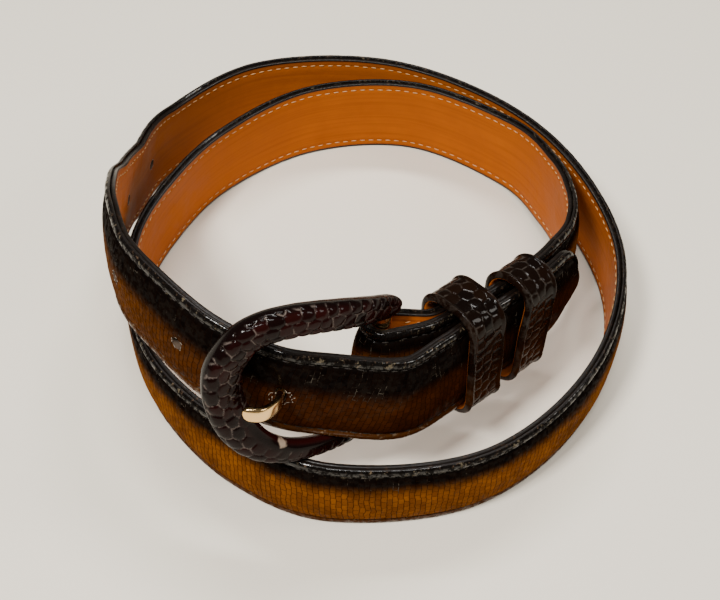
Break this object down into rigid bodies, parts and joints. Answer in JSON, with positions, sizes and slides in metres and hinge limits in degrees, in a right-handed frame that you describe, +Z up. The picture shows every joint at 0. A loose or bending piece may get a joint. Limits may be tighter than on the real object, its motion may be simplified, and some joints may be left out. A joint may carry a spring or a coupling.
{
  "type": "embossed leather belt",
  "caption": "Fastened embossed leather belt coiled on its edge, with a leather-covered buckle, brass prong, keeper loops, punched holes and a stitched tan lining.",
  "frame": {"origin": "under the middle of the coil's bounding box, on the surface that it stands on", "axes": "+Z up from the standing edge; the buckle faces -Y and the strap's free tip points to +X"},
  "size_m": [0.1336, 0.142, 0.0694],
  "materials": {
    "outer_leather": "glossy, embossed in small scales",
    "lining_leather": "smooth, semi-matt",
    "buckle_leather": "glossy, embossed in large scales",
    "keeper_leather": "glossy, embossed in large scales",
    "brass": "polished"
  },
  "bodies": {
    "root": {"strap_leather": "outer_leather", "strap_lining": "lining_leather", "buckle_frame": "buckle_leather", "buckle_prong": "brass", "keeper_near": "keeper_leather", "keeper_far": "keeper_leather"}
  },
  "joints": []
}
